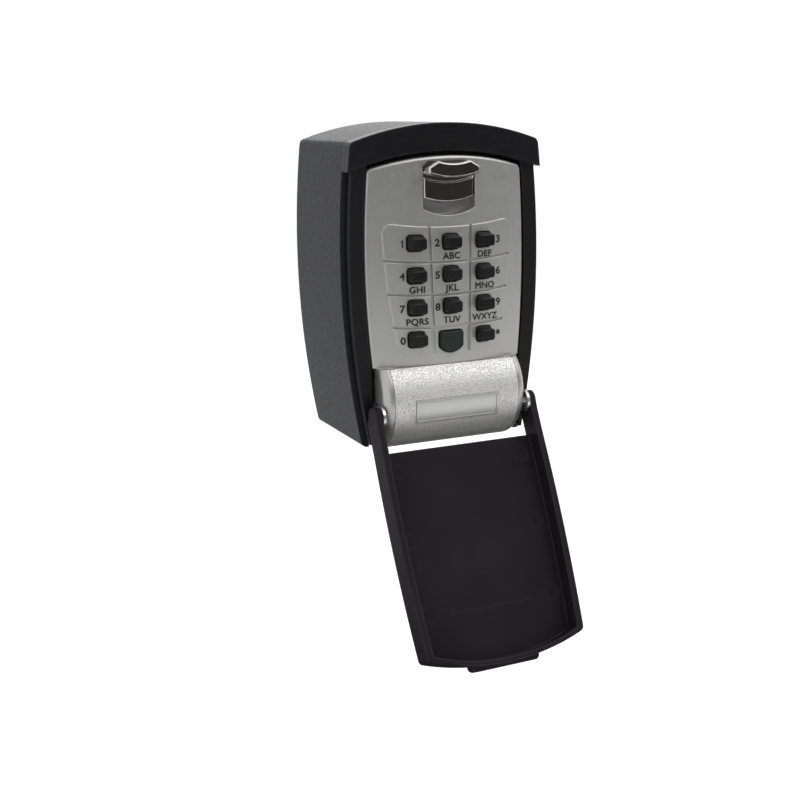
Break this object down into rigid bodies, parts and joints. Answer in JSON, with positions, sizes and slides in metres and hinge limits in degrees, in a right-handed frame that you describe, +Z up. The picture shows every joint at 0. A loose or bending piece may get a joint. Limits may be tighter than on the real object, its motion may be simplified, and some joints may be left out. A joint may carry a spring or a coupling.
{
  "type": "key lock box",
  "caption": "Wall-mounted key safe with an arched hood, push-button keypad door, thumb latch, rounded lower barrel and a drop-down weather flap.",
  "frame": {"origin": "centre of the four wall-screw holes, on the flat back that stands against the wall", "axes": "+Y points into the wall, -Y out of the front; +Z up the box, towards the hood; +X to the right for a person facing the keypad"},
  "size_m": [0.076, 0.0944, 0.1832],
  "materials": {
    "casing_paint": "fine matte powder coat",
    "bezel_plastic": "satin moulded",
    "flap_plastic": "satin moulded",
    "door_silver": "smooth silver paint",
    "barrel_silver": "hammered silver paint",
    "plate_silver": "smooth silver paint",
    "lever_chrome": "polished",
    "plate_steel": "zinc plated",
    "screw_steel": "zinc plated",
    "spring_steel": "bright wire",
    "seal_rubber": "moulded",
    "button_black": "satin moulded",
    "clear_button": "satin moulded",
    "code_brass": "turned"
  },
  "bodies": {
    "base": {"casing": "casing_paint", "bezel": "bezel_plastic", "bezel_screws": "screw_steel", "door_seal": "seal_rubber", "strike_plate": "plate_steel", "strike_screws": "screw_steel", "hinge_bracket": "plate_steel", "bracket_screws": "screw_steel", "key_hook": "plate_steel"},
    "flap": {"weather_flap": "flap_plastic"},
    "door": {"door": "door_silver", "barrel_cover": "barrel_silver", "name_plate": "plate_silver", "hinge_pins": "plate_steel", "guide_plate": "plate_steel", "guide_screws": "screw_steel", "rear_cover": "plate_steel", "cover_screws": "screw_steel", "latch_spring": "spring_steel", "button_springs": "spring_steel"},
    "latch": {"latch_lever": "lever_chrome", "latch_screw": "screw_steel", "gate_plate": "plate_steel", "latch_bolt": "plate_steel"},
    "key_1": {"button_1": "button_black", "code_screw_1": "code_brass"},
    "key_2": {"button_2": "button_black", "code_screw_2": "code_brass"},
    "key_3": {"button_3": "button_black", "code_screw_3": "code_brass"},
    "key_4": {"button_4": "button_black", "code_screw_4": "code_brass"},
    "key_5": {"button_5": "button_black", "code_screw_5": "code_brass"},
    "key_6": {"button_6": "button_black", "code_screw_6": "code_brass"},
    "key_7": {"button_7": "button_black", "code_screw_7": "code_brass"},
    "key_8": {"button_8": "button_black", "code_screw_8": "code_brass"},
    "key_9": {"button_9": "button_black", "code_screw_9": "code_brass"},
    "key_0": {"button_0": "button_black", "code_screw_0": "code_brass"},
    "key_star": {"button_star": "button_black", "code_screw_star": "code_brass"},
    "key_clear": {"button_clear": "clear_button"}
  },
  "joints": [
    {"name": "door_hinge", "type": "hinge", "parent": "base", "child": "door", "pos_m": [0, -0.0533, -0.0451], "axis": [1, 0, 0], "range_deg": [0, 90]},
    {"name": "flap_hinge", "type": "hinge", "parent": "base", "child": "flap", "pos_m": [0, -0.0533, -0.0451], "axis": [1, 0, 0], "range_deg": [-153.6, 0]},
    {"name": "latch_slide", "type": "slide", "parent": "door", "child": "latch", "axis": [0, 0, -1], "range_m": [0, 0.0036], "stiffness_N_per_m": 500, "springref_m": -0.004, "deforming": ["latch_spring"]},
    {"name": "press_1", "type": "slide", "parent": "door", "child": "key_1", "axis": [0, 1, 0], "range_m": [0, 0.002], "stiffness_N_per_m": 300, "springref_m": -0.003, "deforming": ["button_springs"]},
    {"name": "press_2", "type": "slide", "parent": "door", "child": "key_2", "axis": [0, 1, 0], "range_m": [0, 0.002], "stiffness_N_per_m": 300, "springref_m": -0.003, "deforming": ["button_springs"]},
    {"name": "press_3", "type": "slide", "parent": "door", "child": "key_3", "axis": [0, 1, 0], "range_m": [0, 0.002], "stiffness_N_per_m": 300, "springref_m": -0.003, "deforming": ["button_springs"]},
    {"name": "press_4", "type": "slide", "parent": "door", "child": "key_4", "axis": [0, 1, 0], "range_m": [0, 0.002], "stiffness_N_per_m": 300, "springref_m": -0.003, "deforming": ["button_springs"]},
    {"name": "press_5", "type": "slide", "parent": "door", "child": "key_5", "axis": [0, 1, 0], "range_m": [0, 0.002], "stiffness_N_per_m": 300, "springref_m": -0.003, "deforming": ["button_springs"]},
    {"name": "press_6", "type": "slide", "parent": "door", "child": "key_6", "axis": [0, 1, 0], "range_m": [0, 0.002], "stiffness_N_per_m": 300, "springref_m": -0.003, "deforming": ["button_springs"]},
    {"name": "press_7", "type": "slide", "parent": "door", "child": "key_7", "axis": [0, 1, 0], "range_m": [0, 0.002], "stiffness_N_per_m": 300, "springref_m": -0.003, "deforming": ["button_springs"]},
    {"name": "press_8", "type": "slide", "parent": "door", "child": "key_8", "axis": [0, 1, 0], "range_m": [0, 0.002], "stiffness_N_per_m": 300, "springref_m": -0.003, "deforming": ["button_springs"]},
    {"name": "press_9", "type": "slide", "parent": "door", "child": "key_9", "axis": [0, 1, 0], "range_m": [0, 0.002], "stiffness_N_per_m": 300, "springref_m": -0.003, "deforming": ["button_springs"]},
    {"name": "press_0", "type": "slide", "parent": "door", "child": "key_0", "axis": [0, 1, 0], "range_m": [0, 0.002], "stiffness_N_per_m": 300, "springref_m": -0.003, "deforming": ["button_springs"]},
    {"name": "press_star", "type": "slide", "parent": "door", "child": "key_star", "axis": [0, 1, 0], "range_m": [0, 0.002], "stiffness_N_per_m": 300, "springref_m": -0.003, "deforming": ["button_springs"]},
    {"name": "press_clear", "type": "slide", "parent": "door", "child": "key_clear", "axis": [0, 1, 0], "range_m": [0, 0.002], "stiffness_N_per_m": 300, "springref_m": -0.003, "deforming": ["button_springs"]}
  ]
}
